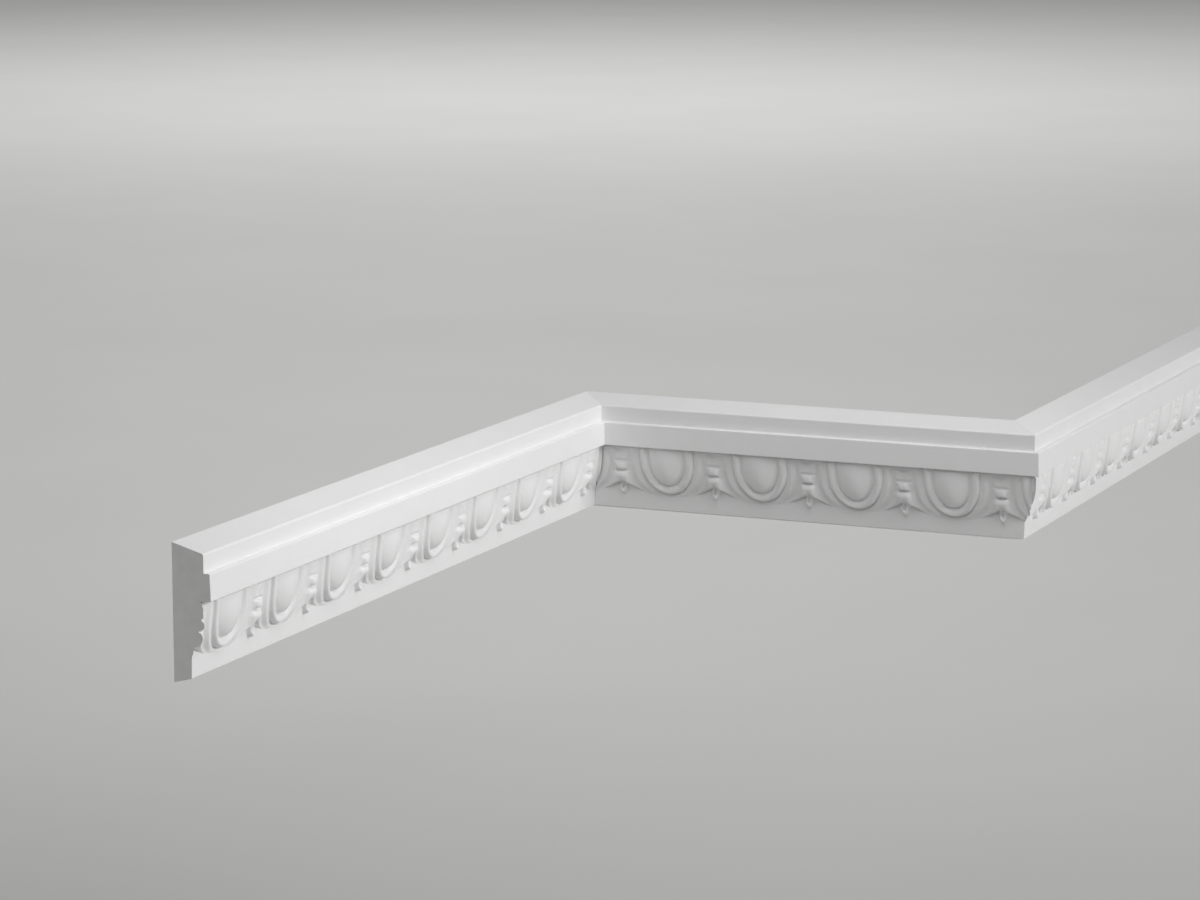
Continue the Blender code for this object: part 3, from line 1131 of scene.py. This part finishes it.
@dataclass
class WallMoulding:
    """The three lengths round the wall's projection."""

    left_length: float = 0.650
    return_length: float = 0.347
    right_length: float = 0.550
    left_first_dart: float = -0.0027
    return_first_dart: float = 0.0378
    right_first_dart: float = 0.0087
    profile: Profile = field(default_factory=Profile)
    skin: PrimedSkin = field(default_factory=PrimedSkin)
    core: CutCore = field(default_factory=CutCore)
    back: RawBack = field(default_factory=RawBack)

    def lengths(self) -> list[MouldingLength]:
        """Gives the three lengths.

        Returns:
            The lengths, from left to right.
        """
        top = self.profile.height / 2
        inner_corner = self.left_length / 2
        return [
            MouldingLength(
                "left_length", "left_run", self.left_length, self.left_first_dart,
                EndShape.SQUARE, EndShape.INNER_MITRE,
                Matrix.Translation((inner_corner - self.left_length, 0.0, top)),
            ),
            MouldingLength(
                "return_length", "return_run", self.return_length, self.return_first_dart,
                EndShape.INNER_MITRE, EndShape.OUTER_MITRE,
                Matrix.Translation((inner_corner, 0.0, top))
                @ Matrix.Rotation(-math.pi / 2, 4, "Z"),
            ),
            MouldingLength(
                "right_length", "right_run", self.right_length, self.right_first_dart,
                EndShape.OUTER_MITRE, EndShape.SQUARE,
                Matrix.Translation((inner_corner, -self.return_length, top)),
            ),
        ]

    def build(self) -> list[bpy.types.Object]:
        """Builds the lengths from one carved unit.

        Returns:
            The pieces, from left to right.
        """
        unit = CarvedUnit().build()
        repeat = UnitRepeat()
        finishes = [finish.material() for finish in (self.skin, self.core, self.back)]
        pieces = [length.build(unit, repeat, finishes) for length in self.lengths()]
        bpy.data.objects.remove(unit)
        return pieces


@dataclass(frozen=True)
class SoftBox:
    """One soft lamp of the studio."""

    name: str
    place: Triple
    aim: Triple
    size: float
    power: float

    def build(self) -> bpy.types.Object:
        """Builds the lamp, turned to what it lights.

        Returns:
            The lamp.
        """
        lamp = bpy.data.lights.new(self.name, "AREA")
        lamp.shape = "SQUARE"
        lamp.size = self.size
        lamp.energy = self.power
        box = bpy.data.objects.new(self.name, lamp)
        box.location = self.place
        turn = (Vector(self.place) - Vector(self.aim)).to_track_quat("Z", "Y")
        box.rotation_euler = turn.to_euler()
        box.visible_camera = False
        bpy.context.scene.collection.objects.link(box)
        return box


@dataclass(frozen=True)
class Studio:
    """The plain pale floor, the soft lamps and the photograph's camera."""

    floor_height: float = -0.70
    floor_size: float = 60.0
    air: float = 0.17
    lamps: tuple[SoftBox, ...] = (
        SoftBox("front_lamp", (0.06, -3.85, 1.60), (0.15, -0.15, 0.0), 1.6, 91.0),
        SoftBox("near_lamp", (-0.12, -0.35, 0.57), (0.32, 0.0, 0.0), 0.5, 1.85),
        SoftBox("end_lamp", (-0.62, 0.12, 0.0), (-0.32, 0.0, 0.0), 0.15, 0.2),
        SoftBox("top_lamp", (0.28, 0.22, 1.50), (0.25, 0.0, 0.0), 0.8, 3.6),
        SoftBox("floor_lamp", (1.84, 0.79, 2.5), (8.26, 3.56, -0.7), 1.6, 64.0),
        SoftBox("middle_floor_lamp", (5.97, 2.57, 4.0), (9.64, 4.16, -0.7), 5.2, 123.0),
        SoftBox("far_floor_lamp", (11.0, 4.75, 6.0), (17.5, 7.5, -0.7), 6.0, 420.0),
    )
    camera_place: Triple = (-2.37363, -1.17453, 0.51509)
    camera_yaw: float = 23.318
    camera_pitch: float = 9.955
    camera_lens: float = 114.862

    def floor(self) -> bpy.types.Object:
        """Builds the floor and keeps it out of the part.

        Returns:
            The floor.
        """
        half = self.floor_size / 2
        corners = [
            (across * half, deep * half, self.floor_height)
            for across, deep in ((-1, -1), (1, -1), (1, 1), (-1, 1))
        ]
        data = bpy.data.meshes.new("floor")
        data.from_pydata(corners, [], [(0, 1, 2, 3)])
        data.materials.append(FloorPaint().material())
        plane = bpy.data.objects.new("floor", data)
        bpy.context.scene.collection.objects.link(plane)
        return plane

    def sky(self) -> bpy.types.World:
        """Builds the even light that comes from all round.

        Returns:
            The world that holds it.
        """
        world = bpy.data.worlds.new("studio_air")
        world.use_nodes = True
        background = world.node_tree.nodes["Background"]
        background.inputs["Color"].default_value = (1.0, 1.0, 1.0, 1.0)
        background.inputs["Strength"].default_value = self.air
        bpy.context.scene.world = world
        return world

    def camera(self) -> bpy.types.Object:
        """Builds the camera at the photograph's viewing angle.

        Returns:
            The camera.
        """
        data = bpy.data.cameras.new("camera")
        data.lens = self.camera_lens
        view = bpy.data.objects.new("camera", data)
        view.location = self.camera_place
        view.rotation_euler = (
            math.pi / 2 - math.radians(self.camera_pitch),
            0.0,
            math.radians(self.camera_yaw) - math.pi / 2,
        )
        bpy.context.scene.collection.objects.link(view)
        bpy.context.scene.camera = view
        return view

    def build(self) -> None:
        """Sets up the studio."""
        self.floor()
        self.sky()
        for lamp in self.lamps:
            lamp.build()
        self.camera()
        bpy.context.scene.view_settings.view_transform = "Standard"


def main() -> None:
    """Loads the frame, builds the moulding and the studio, and reports the pieces."""
    logging.basicConfig(level=logging.INFO, format="%(message)s")
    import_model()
    for piece in WallMoulding().build():
        LOG.info("%s: %d faces", piece.name, len(piece.data.polygons))
    Studio().build()


if __name__ == "__main__":
    main()
